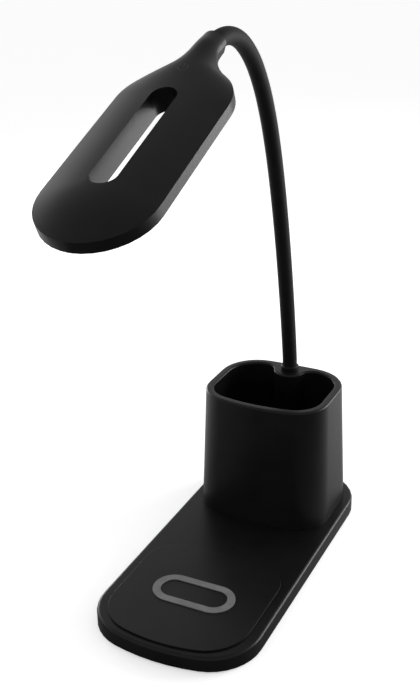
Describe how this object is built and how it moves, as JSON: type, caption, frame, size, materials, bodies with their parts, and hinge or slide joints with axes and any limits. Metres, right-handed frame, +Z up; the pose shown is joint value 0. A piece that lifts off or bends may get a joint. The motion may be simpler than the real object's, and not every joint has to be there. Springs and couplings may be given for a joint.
{
  "type": "desk lamp with charging base and pen cup",
  "caption": "LED desk lamp: a slotted flat head on a bendable gooseneck, a tapered pen cup, and a flat base with a raised wireless charging pad.",
  "frame": {"origin": "on the table, under the middle of the base", "axes": "+Z up, +Y from the charging pad at the front to the pen cup at the rear, +X to the right seen from the front"},
  "size_m": [0.11, 0.291, 0.3537],
  "materials": {
    "black_plastic": "semi-matte black",
    "foot_rubber": "matte",
    "steel": "plain",
    "copper": "wound copper wire",
    "ferrite": "matte",
    "board": "solder mask",
    "component": "matte",
    "lead": "matte",
    "ring_silicone": "matte grey",
    "collar_metal": "black",
    "arm_sleeve": "satin black",
    "opal_plastic": "opal",
    "led_board_white": "white solder mask",
    "led_yellow": "phosphor"
  },
  "bodies": {
    "base": {"base_top_cover": "black_plastic", "base_bottom_plate": "black_plastic", "base_feet": "foot_rubber", "base_screws": "steel", "ballast_plate": "steel", "charging_coil": "copper", "ferrite_sheet": "ferrite", "charger_board": "board", "board_components": "component", "inlet_board": "board", "usb_socket": "steel", "inlet_lead": "lead", "arm_lead": "lead", "grip_ring": "ring_silicone", "pen_cup": "black_plastic", "cup_screws": "steel", "arm_foot_ferrule": "collar_metal", "arm_foot_washer": "steel", "arm_foot_nut": "steel", "arm_foot_sleeve": "arm_sleeve", "arm_foot_hose": "steel"},
    "arm_length_1": {"arm_sleeve_1": "arm_sleeve", "arm_hose_1": "steel"},
    "arm_length_2": {"arm_sleeve_2": "arm_sleeve", "arm_hose_2": "steel"},
    "arm_length_3": {"arm_sleeve_3": "arm_sleeve", "arm_hose_3": "steel"},
    "arm_length_4": {"arm_sleeve_4": "arm_sleeve", "arm_hose_4": "steel"},
    "arm_length_5": {"arm_sleeve_5": "arm_sleeve", "arm_hose_5": "steel"},
    "arm_length_6": {"arm_sleeve_6": "arm_sleeve", "arm_hose_6": "steel"},
    "arm_length_7": {"arm_sleeve_7": "arm_sleeve", "arm_hose_7": "steel"},
    "arm_length_8": {"arm_sleeve_8": "arm_sleeve", "arm_hose_8": "steel"},
    "arm_length_9": {"arm_sleeve_9": "arm_sleeve", "arm_hose_9": "steel"},
    "arm_length_10": {"arm_sleeve_10": "arm_sleeve", "arm_hose_10": "steel"},
    "arm_length_11": {"arm_sleeve_11": "arm_sleeve", "arm_hose_11": "steel"},
    "head": {"arm_head_sleeve": "arm_sleeve", "arm_head_hose": "steel", "head_ferrule": "steel", "neck_set_screw": "steel", "head_shell": "black_plastic", "head_lower_cover": "black_plastic", "head_screws": "steel", "diffuser": "opal_plastic", "led_board": "led_board_white", "leds": "led_yellow", "touch_board": "board", "touch_spring": "steel"}
  },
  "joints": [
    {"name": "lower_bend", "type": "hinge", "parent": "base", "child": "arm_length_1", "pos_m": [0, 0.09902, 0.11258], "axis": [1, 0, 0], "range_deg": [-12, 10]},
    {"name": "sway", "type": "hinge", "parent": "arm_length_1", "child": "arm_length_2", "pos_m": [0, 0.09549, 0.13702], "axis": [0, 0.9882, 0.1531], "range_deg": [-12, 12]},
    {"name": "lower_bend_2", "type": "hinge", "parent": "arm_length_2", "child": "arm_length_3", "pos_m": [0, 0.09145, 0.16139], "axis": [1, 0, 0], "range_deg": [-12, 10]},
    {"name": "sway_2", "type": "hinge", "parent": "arm_length_3", "child": "arm_length_4", "pos_m": [0, 0.0869, 0.18566], "axis": [0, 0.9808, 0.1952], "range_deg": [-12, 12]},
    {"name": "lower_bend_3", "type": "hinge", "parent": "arm_length_4", "child": "arm_length_5", "pos_m": [0, 0.08179, 0.20983], "axis": [1, 0, 0], "range_deg": [-12, 10]},
    {"name": "sway_3", "type": "hinge", "parent": "arm_length_5", "child": "arm_length_6", "pos_m": [0, 0.07606, 0.23386], "axis": [0, 0.9693, 0.2458], "range_deg": [-12, 12]},
    {"name": "upper_bend", "type": "hinge", "parent": "arm_length_6", "child": "arm_length_7", "pos_m": [0, 0.0695, 0.25767], "axis": [1, 0, 0], "range_deg": [-14, 12]},
    {"name": "sway_4", "type": "hinge", "parent": "arm_length_7", "child": "arm_length_8", "pos_m": [0, 0.06165, 0.28108], "axis": [0, 0.9369, 0.3497], "range_deg": [-12, 12]},
    {"name": "upper_bend_2", "type": "hinge", "parent": "arm_length_8", "child": "arm_length_9", "pos_m": [0, 0.0517, 0.30367], "axis": [1, 0, 0], "range_deg": [-14, 12]},
    {"name": "sway_5", "type": "hinge", "parent": "arm_length_9", "child": "arm_length_10", "pos_m": [0, 0.03837, 0.32442], "axis": [0, 0.784, 0.6207], "range_deg": [-12, 12]},
    {"name": "upper_bend_3", "type": "hinge", "parent": "arm_length_10", "child": "arm_length_11", "pos_m": [0, 0.02017, 0.34095], "axis": [1, 0, 0], "range_deg": [-14, 12]},
    {"name": "head_tilt", "type": "hinge", "parent": "arm_length_11", "child": "head", "pos_m": [0, -0.00308, 0.34844], "axis": [1, 0, 0], "range_deg": [-14, 14]}
  ],
  "couplings": [
    {"joint": "lower_bend_2", "follows": "lower_bend", "ratio": 1},
    {"joint": "sway_2", "follows": "sway", "ratio": 1},
    {"joint": "lower_bend_3", "follows": "lower_bend", "ratio": 1},
    {"joint": "sway_3", "follows": "sway", "ratio": 1},
    {"joint": "sway_4", "follows": "sway", "ratio": 1},
    {"joint": "upper_bend_2", "follows": "upper_bend", "ratio": 1},
    {"joint": "sway_5", "follows": "sway", "ratio": 1},
    {"joint": "upper_bend_3", "follows": "upper_bend", "ratio": 1}
  ]
}
